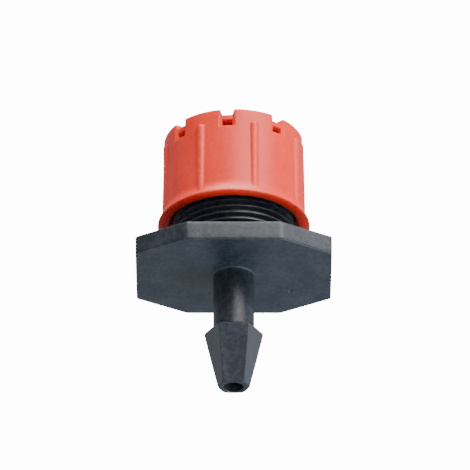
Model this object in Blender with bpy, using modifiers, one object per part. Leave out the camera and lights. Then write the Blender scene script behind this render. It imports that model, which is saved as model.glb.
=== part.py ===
"""Adjustable drip emitter: a barbed base, a flow cap that screws onto it and the cap's metering needle.

The origin is on the axis, in the plane of the flange's underside. +Z runs up towards the cap, the
flange is longest along X, and -Y is the front. The cap stands part of the way unscrewed.
"""

import math

import bmesh
import bpy
from mathutils import Matrix

MM = 0.001

# Flange: an eight-sided plate, longer than it is wide
FLANGE_LENGTH = 18.8 * MM
FLANGE_WIDTH = 14.8 * MM
FLANGE_THICKNESS = 1.93 * MM
FLANGE_FRONT_SIDE = 9.1 * MM
FLANGE_END_SIDE = 9.0 * MM
FLANGE_ROUNDING = 0.15 * MM

# Barb, below the flange
NECK_RADIUS = 1.97 * MM
NECK_END_Z = -6.05 * MM
SHOULDER_Z = -6.35 * MM
SHOULDER_RADIUS = 2.85 * MM
SHOULDER_LAND = 0.2 * MM
TIP_Z = -12.1 * MM
TIP_RADIUS = 1.2 * MM
TIP_ROUNDING = 0.4 * MM
BARB_FRONT_FLAT = (2.45 * MM, 1.12 * MM)
BARB_SIDE_FLAT = (2.46 * MM, 1.4 * MM)
BORE_RADIUS = 0.92 * MM

# Collar and the nozzle inside it, above the flange
COLLAR_TOP_Z = 9.6 * MM
COLLAR_CHAMFER = 0.35 * MM
WELL_RADIUS = 4.4 * MM
WELL_FLOOR_Z = 2.6 * MM
NOZZLE_RADIUS = 2.0 * MM
NOZZLE_TOP_Z = 5.0 * MM
SEAT_RADIUS = 1.45 * MM
SEAT_FLOOR_Z = 4.0 * MM

# Thread: right-handed, single start
THREAD_PITCH = 0.7 * MM
THREAD_ROOT = 5.45 * MM
THREAD_CREST = 5.9 * MM
THREAD_ROOT_HALF = 0.25 * MM
THREAD_CREST_HALF = 0.06 * MM
THREAD_START_Z = 2.46 * MM
THREAD_TURNS = 9.4
THREAD_FADE_TURNS = 0.3
THREAD_RADIAL_GAP = 0.08 * MM
THREAD_FLANK_GAP = 0.084 * MM
THREAD_OVERLAP = 0.2 * MM

# Cap, with heights counted up from its mouth
CAP_MOUTH_Z = 5.4 * MM
CLOSED_MOUTH_Z = 2.5125 * MM
CAP_HEIGHT = 9.4 * MM
MOUTH_OUTER_RADIUS = 7.35 * MM
MOUTH_EDGE = 0.18 * MM
MOUTH_INNER_RADIUS = 6.3 * MM
FLARE_HEIGHT = 1.5 * MM
BARREL_LOW_RADIUS = 6.93 * MM
BARREL_TOP_RADIUS = 6.8 * MM
CROWN_ROUNDING = 0.2 * MM
CROWN_INNER_RADIUS = 5.78 * MM
PLATE_TOP = 8.8 * MM
PLATE_UNDERSIDE = 8.35 * MM
RELIEF_RADIUS = 6.02 * MM
CAP_THREAD_FROM = 1.0 * MM
CAP_THREAD_TO = 4.8 * MM
HUB_RADIUS = 2.0 * MM
HUB_UNDERSIDE = 5.9 * MM

# Grip ribs and outlets, eight of each, spread evenly round the cap
COUNT = 8
RIB_ANGLE = math.radians(-28)
RIB_RADIUS = 7.1 * MM
RIB_ROUNDING = 0.42 * MM
RIB_FROM = 0.5 * MM
RIB_TO = 8.0 * MM
OUTLET_ANGLE = RIB_ANGLE + math.pi / COUNT
CHANNEL_FROM = 7.5 * MM
CHANNEL_RADIUS = 6.54 * MM
CHANNEL_MOUTH_WIDTH = 1.62 * MM
CHANNEL_FLOOR_WIDTH = 1.06 * MM
NOTCH_TOP_WIDTH = 1.33 * MM
NOTCH_FLOOR_WIDTH = 1.0 * MM
WINDOW_WIDTH = 1.03 * MM
WINDOW_HEIGHT = 0.7 * MM

# Needle, with its point placed for the closed cap
NEEDLE_RADIUS = 1.0 * MM
NEEDLE_GAP = 0.05 * MM
NEEDLE_HEAD_RADIUS = 1.6 * MM
NEEDLE_HEAD_HEIGHT = 0.35 * MM
NEEDLE_PLUG_Z = 4.3 * MM
NEEDLE_THROAT_Z = 3.95 * MM
NEEDLE_THROAT_RADIUS = 0.8 * MM
NEEDLE_POINT_Z = 3.3 * MM
NEEDLE_POINT_RADIUS = 0.35 * MM

STEPS = 48
THREAD_STEPS = 24
CLEAR = 1.0 * MM
WELD = 1e-6


def clear_scene():
    for item in list(bpy.data.objects):
        bpy.data.objects.remove(item)


def collection(name):
    made = bpy.data.collections.new(name)
    bpy.context.scene.collection.children.link(made)
    return made


def plastic(name, colour, roughness):
    material = bpy.data.materials.new(name)
    material.use_nodes = True
    shader = material.node_tree.nodes["Principled BSDF"]
    shader.inputs["Base Color"].default_value = (*colour, 1.0)
    shader.inputs["Roughness"].default_value = roughness
    shader.inputs["Metallic"].default_value = 0.0
    return material


def arc(centre_r, centre_z, radius, start, end, steps=4):
    """Points (r, z) along an arc, its angles in degrees from the +r direction."""
    angles = [math.radians(start + (end - start) * step / steps) for step in range(steps + 1)]
    return [(centre_r + radius * math.cos(a), centre_z + radius * math.sin(a)) for a in angles]


def add_object(name, mesh, into):
    made = bpy.data.objects.new(name, mesh)
    into.objects.link(made)
    return made


def mesh_from(bm, name):
    bmesh.ops.recalc_face_normals(bm, faces=bm.faces)
    mesh = bpy.data.meshes.new(name)
    bm.to_mesh(mesh)
    bm.free()
    return mesh


def turned(name, profile, into):
    """A solid of revolution from a closed (r, z) profile that runs down its outer side."""
    mesh = bpy.data.meshes.new(name)
    corners = [(r, 0.0, z) for r, z in profile]
    edges = [(i, (i + 1) % len(corners)) for i in range(len(corners))]
    mesh.from_pydata(corners, edges, [])
    made = add_object(name, mesh, into)
    screw = made.modifiers.new("Turn", "SCREW")
    screw.axis = "Z"
    screw.angle = math.tau
    screw.steps = STEPS
    screw.render_steps = STEPS
    screw.use_merge_vertices = True
    screw.merge_threshold = WELD
    return made


def flat_outline(name, outline, thickness, into, place):
    """A plate with the given (x, y) outline, centred on its own plane, then moved by place."""
    curve = bpy.data.curves.new(name, "CURVE")
    curve.dimensions = "2D"
    curve.fill_mode = "BOTH"
    curve.extrude = thickness / 2
    spline = curve.splines.new("POLY")
    spline.points.add(len(outline) - 1)
    for point, (x, y) in zip(spline.points, outline):
        point.co = (x, y, 0.0, 1.0)
    spline.use_cyclic_u = True
    guide = add_object(name, curve, into)
    graph = bpy.context.evaluated_depsgraph_get()
    bm = bmesh.new()
    bm.from_mesh(bpy.data.meshes.new_from_object(guide.evaluated_get(graph)))
    bpy.data.objects.remove(guide)
    bmesh.ops.remove_doubles(bm, verts=bm.verts, dist=WELD)
    bmesh.ops.transform(bm, matrix=place, verts=bm.verts)
    return add_object(name, mesh_from(bm, name), into)


def block(name, size, centre, into):
    bm = bmesh.new()
    bmesh.ops.create_cube(bm, size=1.0)
    bmesh.ops.transform(bm, matrix=Matrix.LocRotScale(centre, None, size), verts=bm.verts)
    return add_object(name, mesh_from(bm, name), into)


def spread_round(single, count, first_angle):
    """Replaces a piece that points along -Y by copies of itself, spread evenly round the axis."""
    bm = bmesh.new()
    for index in range(count):
        before = len(bm.verts)
        bm.from_mesh(single.data)
        bm.verts.ensure_lookup_table()
        turn = Matrix.Rotation(first_angle + index * math.tau / count, 4, "Z")
        bmesh.ops.transform(bm, matrix=turn, verts=bm.verts[before:])
    single.data = mesh_from(bm, single.name)
    return single


def helical_ridge(name, section, start_z, first_turn, last_turn, fade, into):
    """A ridge along the thread's helix, lofted from its (r, height) section.

    Turns are counted from the front, where the helix is at start_z. Over the fade at each end the
    section sinks to its smallest radius.
    """
    bm = bmesh.new()
    inner = min(r for r, _ in section)
    steps = round((last_turn - first_turn) * THREAD_STEPS)
    rings = []
    for step in range(steps + 1):
        turn = first_turn + step / THREAD_STEPS
        angle = turn * math.tau - math.pi / 2
        share = min(1.0, step / THREAD_STEPS / fade, (steps - step) / THREAD_STEPS / fade) if fade else 1.0
        ring = []
        for r, height in section:
            radius = inner + (r - inner) * (0.5 + 0.5 * share)
            z = start_z + turn * THREAD_PITCH + height
            ring.append(bm.verts.new((radius * math.cos(angle), radius * math.sin(angle), z)))
        rings.append(ring)
    for lower, upper in zip(rings, rings[1:]):
        for i in range(len(section)):
            j = (i + 1) % len(section)
            bm.faces.new((lower[i], lower[j], upper[j], upper[i]))
    bm.faces.new(rings[0])
    bm.faces.new(rings[-1])
    return add_object(name, mesh_from(bm, name), into)


def boolean(target, tool, operation):
    modifier = target.modifiers.new(tool.name, "BOOLEAN")
    modifier.operation = operation
    modifier.solver = "EXACT"
    modifier.object = tool
    tool.hide_render = True
    tool.display_type = "WIRE"


def barb_profile():
    """From the neck's root at the flange down the outside to the edge of the tip's bore."""
    return [
        (NECK_RADIUS, 0.0),
        (NECK_RADIUS, NECK_END_Z),
        (SHOULDER_RADIUS, SHOULDER_Z),
        (SHOULDER_RADIUS, SHOULDER_Z - SHOULDER_LAND),
        *arc(TIP_RADIUS, TIP_Z + TIP_ROUNDING, TIP_ROUNDING, 0, -90),
    ]


def stem_solid(into):
    """Barb, the flange's core and the collar, with the bore, nozzle and well inside them."""
    outside = [
        (THREAD_ROOT - COLLAR_CHAMFER, COLLAR_TOP_Z),
        (THREAD_ROOT, COLLAR_TOP_Z - COLLAR_CHAMFER),
        (THREAD_ROOT, FLANGE_THICKNESS / 2),
        (NECK_RADIUS, FLANGE_THICKNESS / 2),
        *barb_profile(),
    ]
    inside = [
        (BORE_RADIUS, TIP_Z),
        (BORE_RADIUS, SEAT_FLOOR_Z),
        (SEAT_RADIUS, NOZZLE_TOP_Z),
        (NOZZLE_RADIUS, NOZZLE_TOP_Z),
        (NOZZLE_RADIUS, WELL_FLOOR_Z),
        (WELL_RADIUS, WELL_FLOOR_Z),
        (WELL_RADIUS, COLLAR_TOP_Z),
    ]
    return turned("barbed_base", outside + inside, into)


def flange_plate(into):
    half_length, half_width = FLANGE_LENGTH / 2, FLANGE_WIDTH / 2
    half_front, half_end = FLANGE_FRONT_SIDE / 2, FLANGE_END_SIDE / 2
    quarter = [(half_length, half_end), (half_front, half_width)]
    left = [(-x, y) for x, y in reversed(quarter)]
    outline = quarter + left + [(-x, -y) for x, y in quarter + left]
    place = Matrix.Translation((0.0, 0.0, FLANGE_THICKNESS / 2))
    plate = flat_outline("flange_plate", outline, FLANGE_THICKNESS, into, place)
    bevel = plate.modifiers.new("Rounded edges", "BEVEL")
    bevel.width = FLANGE_ROUNDING
    bevel.segments = 2
    bevel.limit_method = "ANGLE"
    return plate


def flange_hole(into):
    """Frees the bore where the plate would fill it."""
    outside = (BORE_RADIUS, FLANGE_THICKNESS + CLEAR), (BORE_RADIUS, -CLEAR)
    return turned("flange_hole", [(0.0, FLANGE_THICKNESS + CLEAR), *outside, (0.0, -CLEAR)], into)


def barb_flat(into, side):
    """What one of six flats takes off the round barb, leaning in from the shoulder to the tip."""
    at_shoulder, at_tip = BARB_FRONT_FLAT if side % 3 == 0 else BARB_SIDE_FLAT
    outline = [
        (-at_shoulder, SHOULDER_Z),
        (-at_shoulder, SHOULDER_Z + CLEAR),
        (-SHOULDER_RADIUS - CLEAR, SHOULDER_Z + CLEAR),
        (-SHOULDER_RADIUS - CLEAR, TIP_Z - CLEAR),
        (-at_tip, TIP_Z - CLEAR),
        (-at_tip, TIP_Z),
    ]
    upright = Matrix(((0, 0, 1, 0), (1, 0, 0, 0), (0, 1, 0, 0), (0, 0, 0, 1)))
    turn = Matrix.Rotation(side * math.tau / 6, 4, "Z")
    return flat_outline(f"barb_flat_{side}", outline, 2 * SHOULDER_RADIUS, into, turn @ upright)


def outside_thread(into):
    section = [
        (THREAD_ROOT - THREAD_OVERLAP, -THREAD_ROOT_HALF),
        (THREAD_ROOT, -THREAD_ROOT_HALF),
        (THREAD_CREST, -THREAD_CREST_HALF),
        (THREAD_CREST, THREAD_CREST_HALF),
        (THREAD_ROOT, THREAD_ROOT_HALF),
        (THREAD_ROOT - THREAD_OVERLAP, THREAD_ROOT_HALF),
    ]
    return helical_ridge(
        "outside_thread", section, THREAD_START_Z, 0.0, THREAD_TURNS, THREAD_FADE_TURNS, into
    )


def barbed_base(parts, cutters, material):
    base = stem_solid(parts)
    boolean(base, flange_plate(cutters), "UNION")
    boolean(base, flange_hole(cutters), "DIFFERENCE")
    boolean(base, outside_thread(cutters), "UNION")
    for side in range(6):
        boolean(base, barb_flat(cutters, side), "DIFFERENCE")
    base.data.materials.append(material)
    return base


def cap_z(height):
    return CAP_MOUTH_Z + height


def flare_profile(steps=5):
    """The barrel's foot, which sweeps out in a parabola to the mouth's edge."""
    spread = MOUTH_OUTER_RADIUS - BARREL_LOW_RADIUS
    points = []
    for step in range(steps + 1):
        share = step / steps
        height = FLARE_HEIGHT + (MOUTH_EDGE - FLARE_HEIGHT) * share
        points.append((BARREL_LOW_RADIUS + spread * share**2, cap_z(height)))
    return points


def cap_shell(into):
    """The cap's barrel, crown, top plate, hub and stepped bore."""
    outside = [
        (CROWN_INNER_RADIUS, cap_z(CAP_HEIGHT)),
        *arc(BARREL_TOP_RADIUS - CROWN_ROUNDING, cap_z(CAP_HEIGHT - CROWN_ROUNDING), CROWN_ROUNDING, 90, 0),
        *flare_profile(),
        (MOUTH_OUTER_RADIUS, cap_z(0.0)),
    ]
    bore_radius = THREAD_ROOT + THREAD_RADIAL_GAP
    needle_hole = NEEDLE_RADIUS + NEEDLE_GAP
    inside = [
        (MOUTH_INNER_RADIUS, cap_z(0.0)),
        (MOUTH_INNER_RADIUS, cap_z(CAP_THREAD_FROM - 0.2 * MM)),
        (bore_radius, cap_z(CAP_THREAD_FROM)),
        (bore_radius, cap_z(CAP_THREAD_TO)),
        (RELIEF_RADIUS, cap_z(CAP_THREAD_TO + 0.2 * MM)),
        (RELIEF_RADIUS, cap_z(PLATE_UNDERSIDE)),
        (HUB_RADIUS, cap_z(PLATE_UNDERSIDE)),
        (HUB_RADIUS, cap_z(HUB_UNDERSIDE)),
        (needle_hole, cap_z(HUB_UNDERSIDE)),
        (needle_hole, cap_z(PLATE_TOP)),
        (CROWN_INNER_RADIUS, cap_z(PLATE_TOP)),
    ]
    return turned("flow_cap", outside + inside, into)


def grip_ribs(into):
    """Upright round beads, sunk into the barrel so that their tops reach the rib radius."""
    bm = bmesh.new()
    height = RIB_TO - RIB_FROM
    bmesh.ops.create_cone(
        bm, cap_ends=True, segments=16, radius1=RIB_ROUNDING, radius2=RIB_ROUNDING, depth=height
    )
    centre = (0.0, -(RIB_RADIUS - RIB_ROUNDING), cap_z((RIB_FROM + RIB_TO) / 2))
    bmesh.ops.translate(bm, vec=centre, verts=bm.verts)
    rib = add_object("grip_ribs", mesh_from(bm, "grip_ribs"), into)
    return spread_round(rib, COUNT, RIB_ANGLE)


def outlet_channels(into):
    """Upright channels with splayed sides, open at the crown, that the outlets lie in."""
    depth = BARREL_TOP_RADIUS - CHANNEL_RADIUS
    splay = (CHANNEL_MOUTH_WIDTH - CHANNEL_FLOOR_WIDTH) / 2 / depth
    half_floor = CHANNEL_FLOOR_WIDTH / 2
    outer = BARREL_TOP_RADIUS + CLEAR
    half_outer = half_floor + splay * (outer - CHANNEL_RADIUS)
    outline = [
        (-half_outer, -outer),
        (half_outer, -outer),
        (half_floor, -CHANNEL_RADIUS),
        (-half_floor, -CHANNEL_RADIUS),
    ]
    height = CAP_HEIGHT + CLEAR - CHANNEL_FROM
    place = Matrix.Translation((0.0, 0.0, cap_z(CHANNEL_FROM + height / 2)))
    channel = flat_outline("outlet_channels", outline, height, into, place)
    return spread_round(channel, COUNT, OUTLET_ANGLE)


def crown_notches(into):
    top = CAP_HEIGHT + CLEAR
    widen = (NOTCH_TOP_WIDTH - NOTCH_FLOOR_WIDTH) / 2 / (CAP_HEIGHT - PLATE_TOP)
    half_floor = NOTCH_FLOOR_WIDTH / 2
    half_top = half_floor + widen * (top - PLATE_TOP)
    floor_z, top_z = cap_z(PLATE_TOP), cap_z(top)
    outline = [(-half_floor, floor_z), (half_floor, floor_z), (half_top, top_z), (-half_top, top_z)]
    length = RIB_RADIUS + CLEAR - (CROWN_INNER_RADIUS - CLEAR)
    middle = (RIB_RADIUS + CLEAR + CROWN_INNER_RADIUS - CLEAR) / 2
    place = Matrix.Translation((0.0, -middle, 0.0)) @ Matrix.Rotation(math.pi / 2, 4, "X")
    notch = flat_outline("crown_notches", outline, length, into, place)
    return spread_round(notch, COUNT, OUTLET_ANGLE)


def outlet_windows(into):
    inner, outer = RELIEF_RADIUS - CLEAR, RIB_RADIUS + CLEAR
    size = (WINDOW_WIDTH, outer - inner, WINDOW_HEIGHT)
    centre = (0.0, -(outer + inner) / 2, cap_z(PLATE_UNDERSIDE - WINDOW_HEIGHT / 2))
    window = block("outlet_windows", size, centre, into)
    return spread_round(window, COUNT, OUTLET_ANGLE)


def inside_thread(into):
    """The groove in the cap's bore, in mesh with the collar's thread."""
    outer = THREAD_CREST + THREAD_RADIAL_GAP
    bore_radius = THREAD_ROOT + THREAD_RADIAL_GAP
    flank = (THREAD_ROOT_HALF - THREAD_CREST_HALF) / (THREAD_CREST - THREAD_ROOT)
    outer_half = THREAD_CREST_HALF + THREAD_FLANK_GAP - flank * THREAD_RADIAL_GAP
    bore_half = outer_half + flank * (outer - bore_radius)
    section = [
        (bore_radius - THREAD_OVERLAP, -bore_half),
        (bore_radius, -bore_half),
        (outer, -outer_half),
        (outer, outer_half),
        (bore_radius, bore_half),
        (bore_radius - THREAD_OVERLAP, bore_half),
    ]
    first_turn = (cap_z(CAP_THREAD_FROM) - THREAD_START_Z) / THREAD_PITCH - 0.6
    last_turn = (cap_z(CAP_THREAD_TO) - THREAD_START_Z) / THREAD_PITCH + 0.6
    return helical_ridge("inside_thread", section, THREAD_START_Z, first_turn, last_turn, 0.0, into)


def flow_cap(parts, cutters, material):
    cap = cap_shell(parts)
    boolean(cap, grip_ribs(cutters), "UNION")
    boolean(cap, outlet_channels(cutters), "DIFFERENCE")
    boolean(cap, crown_notches(cutters), "DIFFERENCE")
    boolean(cap, outlet_windows(cutters), "DIFFERENCE")
    boolean(cap, inside_thread(cutters), "DIFFERENCE")
    cap.data.materials.append(material)
    return cap


def metering_needle(parts, material):
    """The plug on the cap's axis: its head on the top plate, its shaft through the hub, its point down."""
    lift = CAP_MOUTH_Z - CLOSED_MOUTH_Z
    head_z = cap_z(PLATE_TOP) + NEEDLE_GAP
    profile = [
        (0.0, head_z + NEEDLE_HEAD_HEIGHT),
        (NEEDLE_HEAD_RADIUS, head_z + NEEDLE_HEAD_HEIGHT),
        (NEEDLE_HEAD_RADIUS, head_z),
        (NEEDLE_RADIUS, head_z),
        (NEEDLE_RADIUS, lift + NEEDLE_PLUG_Z),
        (NEEDLE_THROAT_RADIUS, lift + NEEDLE_THROAT_Z),
        (NEEDLE_POINT_RADIUS, lift + NEEDLE_POINT_Z),
        (0.0, lift + NEEDLE_POINT_Z),
    ]
    needle = turned("metering_needle", profile, parts)
    needle.data.materials.append(material)
    return needle


def main():
    clear_scene()
    parts = collection("Drip emitter")
    cutters = collection("Cutters")
    cutters.hide_render = True
    black = plastic("Black moulded plastic", (0.030, 0.034, 0.042), 0.38)
    red = plastic("Orange-red moulded plastic", (0.75, 0.075, 0.035), 0.4)
    barbed_base(parts, cutters, black)
    flow_cap(parts, cutters, red)
    metering_needle(parts, red)


main()
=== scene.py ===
# %% [markdown]
# # An adjustable drip emitter
#
# A drip emitter for garden irrigation is two small plastic mouldings. The black base pushes into a
# feed pipe by its barb. The orange-red cap screws on the base's threaded collar, and turning it sets
# the flow that leaves through eight outlets round its crown. The finished CAD model is loaded as a
# fixed frame, and each part gets a finer surface over it.

import math

import bpy
import numpy as np
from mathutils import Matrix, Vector


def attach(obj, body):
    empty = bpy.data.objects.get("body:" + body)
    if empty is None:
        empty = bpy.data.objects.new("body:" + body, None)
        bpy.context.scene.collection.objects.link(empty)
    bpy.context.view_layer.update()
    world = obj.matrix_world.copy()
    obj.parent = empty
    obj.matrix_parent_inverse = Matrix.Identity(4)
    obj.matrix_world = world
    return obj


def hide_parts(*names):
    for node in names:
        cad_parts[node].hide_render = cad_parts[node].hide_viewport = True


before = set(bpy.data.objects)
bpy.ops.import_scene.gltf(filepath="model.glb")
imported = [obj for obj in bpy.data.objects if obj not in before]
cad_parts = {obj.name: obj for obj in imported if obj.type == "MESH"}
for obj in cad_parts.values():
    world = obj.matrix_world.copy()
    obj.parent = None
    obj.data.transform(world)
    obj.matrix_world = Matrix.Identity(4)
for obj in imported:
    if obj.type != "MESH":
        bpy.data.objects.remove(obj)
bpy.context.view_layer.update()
MM = 0.001

# %% [markdown]
# ## Surfaces of revolution that aren't quite round
#
# Both mouldings are nearly turned shapes: a profile carried round the axis, changed a little by the
# angle where there is a rib, a thread or a corner. A lathe-like modifier can only make the round
# part. A grid of points can hold both: each column stands at one angle, each row follows one point
# of the profile, and numpy works out every radius and height at once. The angle is counted from the
# front, turning towards the right.


# %% Points on the grid
def around(angle, radius, height):
    """Points in the frame: x = radius times sin(angle), y = minus radius times cos(angle)."""
    angle, radius, height = np.broadcast_arrays(angle, radius, height)
    return np.stack([radius * np.sin(angle), -radius * np.cos(angle), height], axis=-1)


def ramp(value, start, end):
    """0 before start, 1 after end, and a straight rise between them."""
    return np.clip((value - start) / (end - start), 0.0, 1.0)


# %% [markdown]
# The rows run over the top, down the outside, in at the bottom and up the inside, back to where they
# started, so the grid closes on itself both ways like a ring and needs no caps. Its faces are the
# squares between neighbouring points. They are listed so that each one looks out of the plastic.


# %% Faces of a closed grid
def ring_faces(rows, columns):
    """One face for each grid square: its corner, the corner below, and those two one column on."""
    index = np.arange(rows * columns).reshape(rows, columns)
    below = np.roll(index, -1, axis=0)
    return np.stack([index, below, np.roll(below, -1, axis=1), np.roll(index, -1, axis=1)], axis=-1)


def mesh_object(name, points, faces, sharp_degrees=34):
    """Puts whole arrays of points and faces into a smooth-shaded mesh, with its creases kept sharp."""
    mesh = bpy.data.meshes.new(name)
    mesh.from_pydata(points.reshape(-1, 3), [], faces)
    mesh.shade_smooth()
    mesh.set_sharp_from_angle(angle=math.radians(sharp_degrees))
    made = bpy.data.objects.new(name, mesh)
    bpy.context.scene.collection.objects.link(made)
    print(f"{name}: {len(mesh.vertices)} points, {len(mesh.polygons)} faces")
    return made


# %% [markdown]
# ## The screw thread
#
# The thread is single-start and right-handed, and rises 0.7 mm a turn. Its crest is the line where
# the height is a whole number of pitches above its start, less the share of a turn gone round. So how
# far a point lies above or below the nearest crest is a plain function of its angle and height, and
# the same function cuts the collar's ridge and the cap's groove in step with each other.

# %% Thread
PITCH = 0.7 * MM
THREAD_START = 2.46 * MM
THREAD_TURNS = 9.4
ROOT_RADIUS = 5.45 * MM
CREST_RADIUS = 5.9 * MM
THREAD_GAP = 0.08 * MM


def from_crest(angle, height):
    """Distance up or down to the nearest crest, and how many turns along the thread that crest is."""
    turns_up = (height - THREAD_START) / PITCH - angle / math.tau
    nearest = np.round(turns_up)
    return np.abs(turns_up - nearest) * PITCH, nearest + angle / math.tau


def ridge_radius(angle, height):
    """The collar: root radius, plus a ridge with a flat crest and straight flanks, faded at its ends."""
    away, turn = from_crest(angle, height)
    present = ramp(turn, 0.0, 0.3) * ramp(THREAD_TURNS - turn, 0.0, 0.3)
    return ROOT_RADIUS + (CREST_RADIUS - ROOT_RADIUS) * present * (1 - ramp(away, 0.06 * MM, 0.25 * MM))


def groove_radius(angle, height):
    """The cap's bore: root radius plus a gap, deeper by the ridge's height where the ridge runs."""
    away, _ = from_crest(angle, height)
    return ROOT_RADIUS + THREAD_GAP + (CREST_RADIUS - ROOT_RADIUS) * (1 - ramp(away, 0.11 * MM, 0.3 * MM))


print("thread: pitch 0.7 mm,", THREAD_TURNS, "turns")

# %% [markdown]
# ## The base's outline
#
# The flange is a plate with eight sides, longer than it is wide. Seen from its centre, the distance
# to a straight side grows as one over the cosine of the angle away from that side's middle, and the
# flange's edge is the nearest of the eight. Taking a soft minimum in place of a plain one rounds the
# eight upright corners as the mould does.

# %% Flange outline
FLANGE_TOP = 1.93 * MM
FLANGE_CORNERS = np.array([(4.55, -7.4), (9.4, -4.5), (9.4, 4.5), (4.55, 7.4)]) * MM
FLANGE_CORNERS = np.concatenate([FLANGE_CORNERS, -FLANGE_CORNERS])
corner_angles = np.arctan2(FLANGE_CORNERS[:, 0], -FLANGE_CORNERS[:, 1]) % math.tau

side_starts = FLANGE_CORNERS
side_ends = np.roll(FLANGE_CORNERS, -1, axis=0)
side_normals = np.stack([(side_ends - side_starts)[:, 1], -(side_ends - side_starts)[:, 0]], axis=-1)
side_normals /= np.linalg.norm(side_normals, axis=1, keepdims=True)
side_distances = np.sum(side_normals * side_starts, axis=1)
side_angles = np.arctan2(side_normals[:, 0], -side_normals[:, 1])


def flange_radius(angle, inset):
    """Soft minimum over the sides of (side distance less inset) / cos(angle from the side's middle)."""
    facing = np.cos(angle - side_angles[:, None, None])
    reach = (side_distances[:, None, None] - inset) / np.maximum(facing, 0.05)
    softness = 0.05 * MM
    nearest = reach.min(axis=0)
    return nearest - softness * np.log(np.exp((nearest - reach) / softness).sum(axis=0))


print("flange side distances, mm:", np.round(side_distances / MM, 2))

# %% [markdown]
# ## The base
#
# One black moulding carries everything that stays still: a barb with a bore through it, a thin neck
# that the pipe wall closes round, the flange, and the threaded collar with a nozzle inside. Its
# columns are crowded at the flange's corners and where the barb's corners run, and its rows where the
# profile turns.

# %% The base's columns
near_corner = np.array([-0.26, -0.17, -0.11, -0.06, -0.025, 0.025, 0.06, 0.11, 0.17, 0.26]) * MM
corner_columns = (corner_angles[:, None] + near_corner / (9.5 * MM)).ravel()
MARK_AT = np.array([5.46, 2.85]) * MM
mark_angle = np.arctan2(MARK_AT[0], -MARK_AT[1])
mark_columns = mark_angle + np.linspace(-0.36, 0.36, 10) * MM / np.hypot(*MARK_AT)
barb_turn = np.radians(np.arange(29.5, 42.0, 1.2))
barb_columns = np.concatenate([barb_turn, math.pi - barb_turn, math.pi + barb_turn, math.tau - barb_turn])
even_columns = np.arange(124) * math.tau / 124
base_angles = np.unique(np.concatenate([even_columns, corner_columns, mark_columns, barb_columns]))
base_angles = base_angles[np.diff(base_angles, append=9.0) > 0.0008]
print(len(base_angles), "columns")

# %% [markdown]
# The barb is a cone with six flats moulded on it, which bite the pipe's wall at their corners. A flat
# at a distance d cuts the round down to d over the cosine of the angle from the flat's middle. The
# flats lean in towards the tip, so d falls with the height.

# %% The barb's flats
SHOULDER_Z = -6.35 * MM
TIP_Z = -12.1 * MM


def barb_radius(angle, radius, height):
    """The round barb, cut by front and back flats and four side flats, their corners softened."""
    front = np.interp(height, [TIP_Z, SHOULDER_Z], [1.12 * MM, 2.45 * MM])
    side = np.interp(height, [TIP_Z, SHOULDER_Z], [1.4 * MM, 2.46 * MM])
    cut = np.minimum(
        front / np.maximum(np.abs(np.cos(angle)), 0.02),
        side / np.maximum(np.abs(np.cos(angle - math.tau / 6)), np.abs(np.cos(angle + math.tau / 6))),
    )
    softness = 0.025 * MM
    return np.minimum(radius, cut) - softness * np.log1p(np.exp(-np.abs(radius - cut) / softness))


# %% [markdown]
# Each stretch of the profile is written as rows of radius and height. A stretch that is plain
# revolution gives one radius for all columns. The flange's and the barb's stretches, the thread's and
# the moulded mark's give one for each column.

# %% Rows of the base
def rows(radius, height):
    """A stretch of rows: radius and height, in mm, may be lists down the rows or whole grids."""
    radius, height = np.asarray(radius, float) * MM, np.asarray(height, float) * MM
    return radius[:, None], height[:, None]


def corner_arc(radius, height, size, start, end, steps=4):
    """Rows round a quarter or part of a circle, its centre at (radius, height), angles in degrees."""
    turn = np.radians(np.linspace(start, end, steps + 1))
    return rows(radius + size * np.cos(turn), height + size * np.sin(turn))


def stack(angles, stretches):
    """Joins stretches of rows into one grid of points."""
    full = [np.broadcast_arrays(angles[None, :], radius, height) for radius, height in stretches]
    parts = [around(angle, radius, height) for angle, radius, height in full]
    return np.concatenate(parts, axis=0)


thread_z = (np.linspace(9.22, 2.01, 204) * MM)[:, None]
thread_rows = ridge_radius(base_angles[None, :], thread_z), thread_z

edge_turn = np.radians(np.array([90, 62, 36, 12, 0]))
edge_inset = (0.16 * MM * (1 - np.cos(edge_turn)))[:, None]
edge_drop = (0.16 * MM * (1 - np.sin(edge_turn)))[:, None]
top_edge = flange_radius(base_angles[None, :], edge_inset), FLANGE_TOP - edge_drop
side = flange_radius(base_angles[None, :], np.zeros((2, 1))), np.array([[1.35], [0.6]]) * MM
bottom_edge = flange_radius(base_angles[None, :], edge_inset[::-1]), edge_drop[::-1]
print("stretches ready; thread rows:", len(thread_z))

# %% [markdown]
# A small sunk oval on the flange's underside is left by the mould's ejector pin. It is a dip whose
# depth falls off smoothly from its centre, so the rows of the underside there are close together.


# %% The mark on the underside
def underside(angle, radius):
    """Height of the flange's underside: flat, but for an oval dip at the mark."""
    across = radius * np.sin(angle) - MARK_AT[0]
    along = -radius * np.cos(angle) - MARK_AT[1]
    distance = np.hypot(across / (0.26 * MM), along / (0.19 * MM))
    return 0.16 * MM * (1 - ramp(distance, 0.6, 1.1))


close_rows = np.linspace(6.52, 5.8, 9)
underside_r = (np.concatenate([[7.05, 6.72], close_rows, [5.6, 5.0, 4.2, 3.4, 2.7]]) * MM)[:, None]
underside_rows = underside_r, underside(base_angles[None, :], underside_r)

barb_r = np.concatenate([
    [2.0, 2.35, 2.72, 2.8, 2.84, 2.85, 2.85],
    np.interp(np.linspace(-6.62, -11.7, 22), [-11.7, -6.55], [1.6, 2.85]),
])
barb_z = np.concatenate([[-6.06, -6.19, -6.315, -6.335, -6.36, -6.4, -6.55], np.linspace(-6.62, -11.7, 22)])
barb_z = (barb_z * MM)[:, None]
barb_rows = barb_radius(base_angles[None, :], (barb_r * MM)[:, None], barb_z), barb_z

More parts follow.
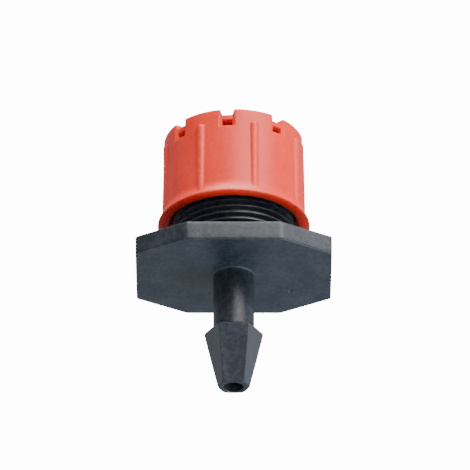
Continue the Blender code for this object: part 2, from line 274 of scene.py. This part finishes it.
tip_turn = np.radians(np.linspace(-12, -90, 6))
tip_z = ((-11.7 + 0.4 * np.sin(tip_turn)) * MM)[:, None]
tip_rows = barb_radius(base_angles[None, :], ((1.2 + 0.4 * np.cos(tip_turn)) * MM)[:, None], tip_z), tip_z

# %% [markdown]
# The stretches are put together from the collar's top, down the outside to the barb's tip, and up the
# bore, over the nozzle and out of the well.

# %% The base
base_grid = stack(base_angles, [
    rows([4.4, 4.48, 4.8, 5.05, 5.13], [9.53, 9.6, 9.6, 9.6, 9.57]),
    thread_rows,
    rows([5.46, 5.5, 5.6, 6.2, 6.9], FLANGE_TOP / MM + np.array([0.04, 0.01, 0.0, 0.0, 0.0])),
    top_edge,
    side,
    bottom_edge,
    underside_rows,
    corner_arc(2.15, -0.18, 0.18, 90, 180),
    rows([1.97] * 11, np.linspace(-0.6, -5.95, 11)),
    barb_rows,
    tip_rows,
    corner_arc(1.02, -12.0, 0.1, -90, -180, 3),
    rows([0.92] * 6, np.linspace(-10.5, 3.9, 6)),
    rows([0.92, 1.4, 1.5, 1.95, 2.0], [4.0, 4.9, 5.0, 5.0, 4.95]),
    rows([2.0, 2.0, 2.08, 2.5, 4.2, 4.4], [4.0, 2.7, 2.6, 2.6, 2.6, 2.75]),
    rows([4.4] * 3, [4.4, 6.2, 8.0]),
])
base = mesh_object("base_moulding", base_grid, ring_faces(*base_grid.shape[:2]).reshape(-1, 4))

# %% [markdown]
# ## The cap
#
# The cap is a cup turned upside down. Round its barrel stand eight upright beads for the fingers,
# and its foot flares out to the mouth. Half way between the beads the crown is cut by eight notches,
# and under each notch a shallow channel runs down to a small window, where the water comes out. The
# pattern repeats every eighth of a turn, so the columns are placed once for one bead and one outlet
# and used eight times.

# %% The cap's columns
CAP_MOUTH = 5.4 * MM
COUNT = 8
SECTOR = math.tau / COUNT
BEAD_ANGLE = math.radians(-28)
OUTLET_ANGLE = BEAD_ANGLE + SECTOR / 2
COLUMN_RADIUS = 6.7 * MM

bead_side = np.array([0.06, 0.12, 0.18, 0.24, 0.29, 0.33, 0.365, 0.395, 0.425, 0.46, 0.52, 0.62])
outlet_side = np.array([
    0.17, 0.34, 0.5, 0.515, 0.53, 0.56, 0.6, 0.64, 0.665, 0.69, 0.72, 0.77, 0.81, 0.85, 0.95,
])
plain_side = np.array([0.8, 1.05, 1.3, 1.5])
first_half = np.concatenate([[0.0], bead_side, plain_side, SECTOR / 2 * 6.7 - outlet_side[::-1]])
sector_mm = np.concatenate([first_half, [SECTOR / 2 * 6.7], SECTOR * 6.7 - first_half[:0:-1]])
sector_angles = sector_mm * MM / COLUMN_RADIUS
cap_angles = (BEAD_ANGLE + SECTOR * np.arange(COUNT)[:, None] + sector_angles).ravel()
print(len(sector_angles), "columns a sector,", len(cap_angles), "in all")


# %% [markdown]
# A point's place beside the nearest bead or outlet is the arc from that bead's or outlet's middle,
# found by wrapping the angle into one sector. The bead is part of a circle in plan, joined to the
# barrel by a soft maximum that leaves a small fillet. The channel is a straight-sided trough.


# %% Beads and channels
def beside(angle, middle):
    """Arc in metres from the middle of the nearest of the eight features."""
    wrapped = (angle - middle + SECTOR / 2) % SECTOR - SECTOR / 2
    return np.abs(wrapped) * COLUMN_RADIUS


def barrel_radius(height):
    """The barrel tapers up from 6.93 to 6.8 mm, and below 1.5 mm its foot flares in a parabola."""
    taper = np.interp(height, np.array([1.5, 9.2]) * MM, np.array([6.93, 6.8]) * MM)
    return taper + 0.42 * MM * (1 - ramp(height, 0.18 * MM, 1.5 * MM)) ** 2


def wall_radius(angle, height):
    """The barrel, raised softly to the beads' circles and cut down to the channels' floors."""
    barrel = barrel_radius(height)
    aside = np.minimum(beside(angle, BEAD_ANGLE), 0.42 * MM)
    top = np.sqrt(np.maximum(1 - ramp(height, 7.84 * MM, 8.0 * MM) ** 2, 0))
    bead = 6.68 * MM + top * np.sqrt((0.42 * MM) ** 2 - aside**2) - 0.2 * MM * (1 - top)
    softness = 0.018 * MM
    joined = np.maximum(barrel, bead) + softness * np.log1p(np.exp(-np.abs(barrel - bead) / softness))
    joined -= softness * math.log(2) * (1 - ramp(bead - barrel, -0.1 * MM, 0))
    floor = np.interp(beside(angle, OUTLET_ANGLE), np.array([0.53, 0.81]) * MM, np.array([6.54, 6.83]) * MM)
    floor = np.where(beside(angle, OUTLET_ANGLE) < 0.81 * MM, floor, 1.0)
    sunk = np.minimum(joined, floor)
    return joined + (sunk - joined) * ramp(height, 7.47 * MM, 7.53 * MM)


def crown_height(angle):
    """The crown's top: 9.4 mm, but down to just over the plate in the notches, whose sides lean."""
    return np.interp(
        beside(angle, OUTLET_ANGLE),
        np.array([0.5, 0.515, 0.64, 0.665, 0.69, 0.72]) * MM,
        np.array([8.82, 8.85, 9.31, 9.37, 9.392, 9.4]) * MM,
    )


print("lowest point of the crown, mm:", round(crown_height(cap_angles).min() / MM, 2))

# %% [markdown]
# Down the outside, the rows above the plate follow the crown's own height, so that they close up
# inside a notch. Below it they stand at fixed heights, with pairs close together at the channel's
# foot and at the beads' tops.

# %% The cap's outside rows
PLATE_TOP = 8.8 * MM
crown = crown_height(cap_angles)[None, :]
tall = (crown - PLATE_TOP) / (0.6 * MM)

rim_turn = np.radians(np.array([90, 65, 42, 20, 0]))
rim_inset = (0.17 * MM * (1 - np.cos(rim_turn)))[:, None] * tall
rim_drop = (0.17 * MM * (1 - np.sin(rim_turn)))[:, None] * tall
rim_z = crown - rim_drop
rim_rows = wall_radius(cap_angles[None, :], rim_z) - rim_inset, CAP_MOUTH + rim_z

land_share = np.array([0.0, 0.33, 0.66])[:, None]
land_inner = 5.82 * MM
land_r = land_inner + (wall_radius(cap_angles[None, :], crown) - rim_inset[:1] - land_inner) * land_share
land_rows = land_r, CAP_MOUTH + crown

outside_h = np.array([
    8.8, 8.6, 8.35, 8.18, 8.03, 7.995, 7.97, 7.93, 7.88, 7.84, 7.65, 7.54, 7.46, 7.4, 7.2, 6.8, 6.2,
    5.4, 4.6, 3.8, 3.0, 2.4, 2.0, 1.75, 1.55, 1.42, 1.3, 1.18, 1.06, 0.95, 0.85, 0.75, 0.66, 0.58, 0.5,
    0.43, 0.36, 0.3, 0.24, 0.18,
]) * MM
upper = PLATE_TOP + (crown - 0.17 * MM * tall - PLATE_TOP) * np.array([0.66, 0.33])[:, None]
upper_rows = wall_radius(cap_angles[None, :], upper), CAP_MOUTH + upper
outside_rows = wall_radius(cap_angles[None, :], outside_h[:, None]), CAP_MOUTH + outside_h[:, None]
print(len(outside_h), "rows down the outside")

# %% [markdown]
# Inside are the bore with its thread groove, a wider relief above it, the plate, and the hub that the
# metering needle stands in. The bore is chamfered at both ends, and the groove runs out through the
# chamfers: each radius is the larger of the two. The relief's rows beside the windows repeat the
# outside's heights, so that the two walls can be joined there.

# %% The cap's inside rows
WINDOW_ROWS = slice(2, 11)
groove_h = (np.linspace(0.84, 5.01, 93) * MM)[:, None]
chamfer_h, chamfer_r = np.array([[0.82, 0.99, 4.84, 5.02], [6.25, 5.53, 5.53, 6.02]]) * MM
chamfer = np.interp(groove_h, chamfer_h, chamfer_r)
groove = np.maximum(groove_radius(cap_angles[None, :], CAP_MOUTH + groove_h), chamfer)
groove_rows = groove, CAP_MOUTH + groove_h
window_h = outside_h[WINDOW_ROWS][::-1]
lift = CAP_MOUTH / MM

cap_stretches = [
    land_rows,
    rim_rows,
    upper_rows,
    outside_rows,
    rows([7.35, 7.335, 7.3, 6.8], lift + np.array([0.05, 0.015, 0.0, 0.0])),
    rows([6.36, 6.31, 6.3], lift + np.array([0.0, 0.02, 0.06])),
    rows([6.3, 6.25], lift + np.array([0.75, 0.82])),
    groove_rows,
    rows([6.02, 6.02], lift + np.array([5.1, 6.4])),
    rows([6.02] * len(window_h), lift + window_h / MM),
    rows([5.4, 4.2, 3.0, 2.06, 2.0], lift + np.array([8.35, 8.35, 8.35, 8.35, 8.29])),
    rows([2.0, 1.96, 1.1, 1.05, 1.05], lift + np.array([5.94, 5.9, 5.9, 5.94, 8.76])),
    rows([1.1, 1.8, 3.0, 4.4, 5.6, 5.76], lift + np.array([8.8, 8.8, 8.8, 8.8, 8.8, 8.805])),
]
inner_wall_h = 8.815 * MM + (crown - 8.815 * MM - 0.03 * MM * tall) * np.array([0.0, 0.5, 1.0])[:, None]
cap_stretches.append((np.full((3, 1), 5.78 * MM), CAP_MOUTH + inner_wall_h))
cap_grid = stack(cap_angles, cap_stretches)
starts = np.cumsum([0] + [max(r.shape[0], h.shape[0]) for r, h in cap_stretches])
print("cap grid:", cap_grid.shape[:2])

# %% [markdown]
# The eight windows are holes through the wall. The faces over each one are left out of the outer and
# of the inner wall, and new faces join the two edges: along the top, the bottom and both sides. A
# row's partner on the inner wall is counted from the other end, because the rows run down outside and
# up inside. Points that no face uses any more are dropped at the end.

# %% The windows
outer_first = starts[3] + WINDOW_ROWS.start
outer_last = starts[3] + WINDOW_ROWS.stop - 1
inner_first, inner_last = starts[9], starts[10] - 1
middle = len(sector_angles) // 2
left_column, right_column = middle - 4, middle + 4
columns = len(cap_angles)


def window_faces(first_column):
    """Faces between the outer and inner edges of the window whose sector starts at this column."""
    left, right = first_column + left_column, first_column + right_column
    across = np.arange(left, right)
    down = np.arange(outer_first, outer_last)
    partner = inner_last - (down - outer_first)

    def strip(*corners):
        """Faces whose four corners are these (row, column) pairs."""
        return np.stack([row * columns + column for row, column in corners], axis=-1)

    after = across + 1
    return np.concatenate([
        strip((outer_first, after), (outer_first, across), (inner_last, across), (inner_last, after)),
        strip((outer_last, across), (outer_last, after), (inner_first, after), (inner_first, across)),
        strip((down, left), (down + 1, left), (partner - 1, left), (partner, left)),
        strip((down + 1, right), (down, right), (partner, right), (partner - 1, right)),
    ])


faces = ring_faces(*cap_grid.shape[:2])
kept = np.ones(faces.shape[:2], bool)
first_columns = np.arange(COUNT) * len(sector_angles)
window_columns = (first_columns[:, None] + np.arange(left_column, right_column)).ravel()
kept[outer_first:outer_last, window_columns] = False
kept[inner_first:inner_last, window_columns] = False
joins = [window_faces(first) for first in first_columns]
used, cap_faces = np.unique(np.concatenate([faces[kept], *joins]), return_inverse=True)
cap = mesh_object("cap_moulding", cap_grid.reshape(-1, 3)[used], cap_faces.reshape(-1, 4))

# %% [markdown]
# ## The metering needle
#
# On the cap's axis a plug hangs into the nozzle and closes it when the cap is screwed down. It is a
# plain turned shape, so its rows need no angle at all. It meets the axis at both ends, where a ring
# of faces would have no width. One point and a fan of triangles close each end instead.

# %% The needle
NEEDLE_TOP = 14.2 + 0.05 + 0.35
needle_angles = np.arange(64) * math.tau / 64
needle_rows = [
    rows([0.35, 0.5], [NEEDLE_TOP - 0.06, NEEDLE_TOP - 0.02]),
    rows([0.6, 1.4], [NEEDLE_TOP, NEEDLE_TOP]),
    corner_arc(1.47, NEEDLE_TOP - 0.13, 0.13, 90, 0, 5),
    rows([1.6, 1.57, 1.04, 1.0], NEEDLE_TOP - np.array([0.3, 0.34, 0.34, 0.4])),
    rows([1.0] * 5 + [0.98, 0.81, 0.78], [13.0, 11.5, 10.0, 8.6, 7.3, 7.17, 6.85, 6.8]),
    rows([0.6, 0.4, 0.33, 0.2], [6.5, 6.26, 6.2, 6.1875]),
]


def fan_faces(ring, pole, outward_first):
    """Triangles from one ring of points to the pole, turned so that they look outwards."""
    following = np.roll(ring, -1)
    pair = (ring, following) if outward_first else (following, ring)
    return np.stack([*pair, np.full_like(ring, pole)], axis=-1)


needle_grid = stack(needle_angles, needle_rows)
count_down, count_round = needle_grid.shape[:2]
needle_points = np.concatenate([
    needle_grid.reshape(-1, 3),
    [[0, 0, (NEEDLE_TOP - 0.08) * MM], [0, 0, 6.1875 * MM]],
])
index = np.arange(count_down * count_round).reshape(count_down, count_round)
squares = ring_faces(count_down, count_round)[:-1].reshape(-1, 4)
triangles = np.concatenate([
    fan_faces(index[0], len(needle_points) - 2, True),
    fan_faces(index[-1], len(needle_points) - 1, False),
])
needle = mesh_object("metering_plug", needle_points, [*squares.tolist(), *triangles.tolist()])

# %% [markdown]
# ## Joining the frame
#
# Each new surface moves with the CAD body whose place it takes, and hides that body's CAD part.

# %% Bodies, parts and slots
for piece, body, node, slot_name in (
    (base, "base", "barbed_base", "black_plastic"),
    (cap, "cap", "flow_cap", "red_plastic"),
    (needle, "needle", "metering_needle", "red_plastic"),
):
    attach(piece, body)
    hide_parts(node)
    print(piece.name, "rides on", body)

# %% [markdown]
# ## Arithmetic on shader sockets
#
# A material is a sum of patterns, and sums are easier to read as sums than as chains of Math nodes.
# This class stands for one socket of a node tree. Adding, multiplying or subtracting it makes the
# Math node and gives back that node's output. Its one method makes every other kind of node.


# %% Sockets that do sums
class Socket:
    """One output of a shader node, with Python's operators turned into Math nodes."""

    def __init__(self, tree, output):
        self.tree = tree
        self.output = output

    def node(self, kind, settings, inputs, output=0):
        """A new node: its settings first, then a value or a link for each socket named or numbered."""
        made = self.tree.nodes.new(kind)
        for name, value in settings.items():
            setattr(made, name, value)
        for key, value in inputs.items():
            if isinstance(value, Socket):
                self.tree.links.new(value.output, made.inputs[key])
            else:
                made.inputs[key].default_value = value
        return Socket(self.tree, made.outputs[output])

    def math(self, operation, first, second):
        return self.node("ShaderNodeMath", {"operation": operation}, {0: first, 1: second})

    def __add__(self, other):
        return self.math("ADD", self, other)

    def __radd__(self, other):
        return self.math("ADD", other, self)

    def __sub__(self, other):
        return self.math("SUBTRACT", self, other)

    def __rsub__(self, other):
        return self.math("SUBTRACT", other, self)

    def __mul__(self, other):
        return self.math("MULTIPLY", self, other)

    def __rmul__(self, other):
        return self.math("MULTIPLY", other, self)


# %% [markdown]
# A new material starts from its Principled shader and the object coordinates, which stay with the
# plastic when the cap turns. Lengths in the patterns are real: a noise scale of 1000 to the metre has
# features about a millimetre across.


# %% A material to build on
def new_material(name, roughness, coat):
    """A material, its Principled node, and its object coordinates as a Socket."""
    material = bpy.data.materials.new(name)
    material.use_nodes = True
    tree = material.node_tree
    shader = tree.nodes["Principled BSDF"]
    shader.inputs["Roughness"].default_value = roughness
    shader.inputs["Coat Weight"].default_value = coat
    coordinates = tree.nodes.new("ShaderNodeTexCoord")
    return material, shader, Socket(tree, coordinates.outputs["Object"])


def noise(place, per_metre, detail=2.0, stretch=(1.0, 1.0, 1.0)):
    """Smooth noise from 0 to 1 with this many features to the metre, stretched along the axes."""
    mapped = place.node("ShaderNodeMapping", {}, {"Vector": place, "Scale": stretch})
    return place.node("ShaderNodeTexNoise", {}, {"Vector": mapped, "Scale": per_metre, "Detail": detail})


def between(place, value, start, end):
    """0 where value is at start, 1 where it is at end, clamped outside."""
    limits = {"Value": value, "From Min": start, "From Max": end}
    return place.node("ShaderNodeMapRange", {"clamp": True}, limits)


def blend(place, share, first, second):
    """A colour on the way from the first to the second."""
    return place.node(
        "ShaderNodeMix", {"data_type": "RGBA"}, {0: share, 6: first, 7: second}, output=2
    )


def bump(place, height, distance, strength, over=None):
    """A surface normal tilted by this height pattern, on top of another bump if one is given."""
    inputs = {"Height": height, "Distance": distance, "Strength": strength}
    if over is not None:
        inputs["Normal"] = over
    return place.node("ShaderNodeBump", {}, inputs)


def link(shader, name, value):
    shader.id_data.links.new(value.output, shader.inputs[name])


print("shader helpers ready")

# %% [markdown]
# ## Red plastic
#
# The cap is satin polypropylene, pigmented right through. Its colour drifts a little where the melt
# flowed in, in soft streaks along the axis. The beads' tops are painted paler in patches, a painted
# highlight, and are made smoother. The skin has a very fine grain from the mould, with a slow
# unevenness under it that breaks up the long highlights. How far out a point lies, from its x and y,
# finds the beads' tops.

# %% Red plastic
red, red_shader, red_place = new_material("orange_red_plastic", 0.42, 0.04)
red_shader.inputs["Coat Roughness"].default_value = 0.3
red_shader.inputs["IOR"].default_value = 1.49
red_shader.inputs["Specular IOR Level"].default_value = 0.35
red_shader.inputs["Subsurface Weight"].default_value = 0.35
red_shader.inputs["Subsurface Radius"].default_value = (1.0, 0.25, 0.12)
red_shader.inputs["Subsurface Scale"].default_value = 1.2 * MM

flow = noise(red_place, 420.0, 3.0, (1.0, 1.0, 0.35))
mottle = noise(red_place, 2600.0, 3.0)
flat_place = red_place.node(
    "ShaderNodeVectorMath", {"operation": "MULTIPLY"}, {0: red_place, 1: (1.0, 1.0, 0.0)}
)
out_from_axis = red_place.node("ShaderNodeVectorMath", {"operation": "LENGTH"}, {0: flat_place}, output=1)
bead_top = between(red_place, out_from_axis, 6.98 * MM, 7.09 * MM)
# painted highlight: a patchy mask over the beads' outermost tops, where they are painted paler
painted_bead_highlight = bead_top * between(red_place, mottle, 0.35, 0.65)

red_colour = blend(
    red_place,
    between(red_place, flow * 0.7 + mottle * 0.3, 0.36, 0.64),
    (0.78, 0.026, 0.009, 1.0),
    (0.88, 0.046, 0.018, 1.0),
)
# the painted highlight: the beads' tops are blended towards a paler orange-red
red_colour = blend(red_place, painted_bead_highlight * 0.35, red_colour, (0.90, 0.10, 0.05, 1.0))
link(red_shader, "Base Color", red_colour)
dull = between(red_place, mottle * 0.5 + flow * 0.5, 0.3, 0.7)
link(red_shader, "Roughness", 0.36 + 0.16 * dull - 0.07 * painted_bead_highlight)

red_uneven = bump(red_place, noise(red_place, 900.0), 0.02 * MM, 0.35)
red_grain = bump(red_place, noise(red_place, 9000.0, 3.0), 0.004 * MM, 0.5, over=red_uneven)
link(red_shader, "Normal", red_grain)
for piece in (cap, needle):
    piece.data.materials.append(red)
print("red plastic on", cap.name, "and", needle.name)

# %% [markdown]
# ## Black plastic
#
# The base is carbon-black polypropylene, which looks blue-grey wherever light glances off it. Its skin
# is mottled, with paler rubbed patches and a few short scratches. The scratches are noise stretched
# along one direction, with only its highest crests kept.

# %% Black plastic
black, black_shader, black_place = new_material("blue_black_plastic", 0.45, 0.0)
black_shader.inputs["IOR"].default_value = 1.5

cloud = noise(black_place, 330.0, 3.0)
speck = noise(black_place, 2400.0, 3.0)
rubbed = between(black_place, cloud * 0.5 + speck * 0.5, 0.42, 0.66)
scratch_noise = noise(black_place, 1800.0, 2.0, (0.2, 0.35, 1.3))
scratch = between(black_place, scratch_noise, 0.68, 0.76)

black_colour = blend(black_place, rubbed, (0.011, 0.016, 0.024, 1.0), (0.036, 0.043, 0.055, 1.0))
black_colour = blend(black_place, scratch * 0.2, black_colour, (0.07, 0.078, 0.09, 1.0))
link(black_shader, "Base Color", black_colour)
link(black_shader, "Roughness", 0.38 + 0.14 * rubbed + 0.08 * scratch)

black_uneven = bump(black_place, noise(black_place, 900.0, 3.0), 0.03 * MM, 0.45)
black_grain = bump(black_place, noise(black_place, 6000.0, 3.0), 0.008 * MM, 0.6, over=black_uneven)
link(black_shader, "Normal", black_grain)
base.data.materials.append(black)
print("black plastic on", base.name)

# %% [markdown]
# ## Studio
#
# The emitter is held up over a pale floor and looked at from below, so that the barb, the flange's
# underside and the outlets all show. One large soft light stands to the right and above, and the
# left stays in shade. The view is about 45 mm wide where the emitter stands.

# %% Camera
LOOK_UP = math.radians(29.6)
CAMERA_DISTANCE = 0.6
VIEW_WIDTH = 45.37 * MM
camera_data = bpy.data.cameras.new("camera")
camera = bpy.data.objects.new("camera", camera_data)
bpy.context.scene.collection.objects.link(camera)
bpy.context.scene.camera = camera

towards_camera = Vector((0, -math.cos(LOOK_UP), -math.sin(LOOK_UP)))
aim = Vector((0.12 * MM, 0, 4.6 * MM))
camera.location = aim + towards_camera * CAMERA_DISTANCE
camera.rotation_euler = (-towards_camera).to_track_quat("-Z", "Y").to_euler()
camera_data.lens = camera_data.sensor_width * CAMERA_DISTANCE / VIEW_WIDTH
camera_data.clip_start, camera_data.clip_end = 0.01, 20
print("lens, mm:", round(camera_data.lens, 1))


# %% [markdown]
# Each light is a square panel 0.6 m away, aimed at the emitter. The key is warm and stands to the
# front and right. The one under it lifts the flange's underside, and two weak ones draw the sides.


# %% Lights
def soft_light(name, direction, distance, size, watts, tint):
    """A square area light that far out along a direction from the emitter, turned to face it."""
    data = bpy.data.lights.new(name, "AREA")
    data.size, data.energy, data.color = size, watts, tint
    lamp = bpy.data.objects.new(name, data)
    bpy.context.scene.collection.objects.link(lamp)
    lamp.location = Vector(direction).normalized() * distance
    lamp.rotation_euler = (-lamp.location).to_track_quat("-Z", "Y").to_euler()
    print(name, [round(c, 2) for c in lamp.location])
    return lamp


soft_light("key", (0.5, -0.8, 0.72), 0.6, 0.5, 6.6, (1.0, 0.97, 0.93))
soft_light("overhead", (0.0, -0.25, 1.0), 0.6, 0.35, 4.5, (0.96, 0.98, 1.0))
soft_light("right_side", (1.0, 0.25, 0.1), 0.6, 0.5, 1.1, (0.95, 0.98, 1.0))
soft_light("left_edge", (-1.0, 0.6, 0.15), 0.6, 0.4, 0.5, (0.86, 0.93, 1.0))
soft_light("under", (0.75, -0.1, -1.0), 0.6, 0.5, 3.4, (0.74, 0.88, 1.0))

# %% [markdown]
# The background's colour is chosen by the kind of ray: white for what the camera sees directly, and
# the weaker, cooler one for everything that lights the plastic.

# %% World and floor
world = bpy.data.worlds.new("studio")
bpy.context.scene.world = world
world.use_nodes = True
background = world.node_tree.nodes["Background"]
background.inputs["Color"].default_value = (0.88, 0.94, 1.0, 1.0)
background.inputs["Strength"].default_value = 0.42
seen = Socket(world.node_tree, background.outputs["Background"])
white = seen.node("ShaderNodeBackground", {}, {"Color": (1.0, 1.0, 1.0, 1.0), "Strength": 14.0})
direct = seen.node("ShaderNodeLightPath", {}, {}, output="Is Camera Ray")
mixed = seen.node("ShaderNodeMixShader", {}, {0: direct, 1: seen, 2: white})
world.node_tree.links.new(mixed.output, world.node_tree.nodes["World Output"].inputs["Surface"])

floor_mesh = bpy.data.meshes.new("floor")
floor_mesh.from_pydata([(-6, -6, -0.62), (6, -6, -0.62), (6, 6, -0.62), (-6, 6, -0.62)], [], [(0, 1, 2, 3)])
floor = bpy.data.objects.new("floor", floor_mesh)
bpy.context.scene.collection.objects.link(floor)
floor_paint, floor_shader, _ = new_material("floor_paint", 0.7, 0.0)
floor_shader.inputs["Base Color"].default_value = (0.80, 0.84, 0.87, 1.0)
floor_mesh.materials.append(floor_paint)
print("floor", floor_mesh.vertices[0].co.z, "m up")
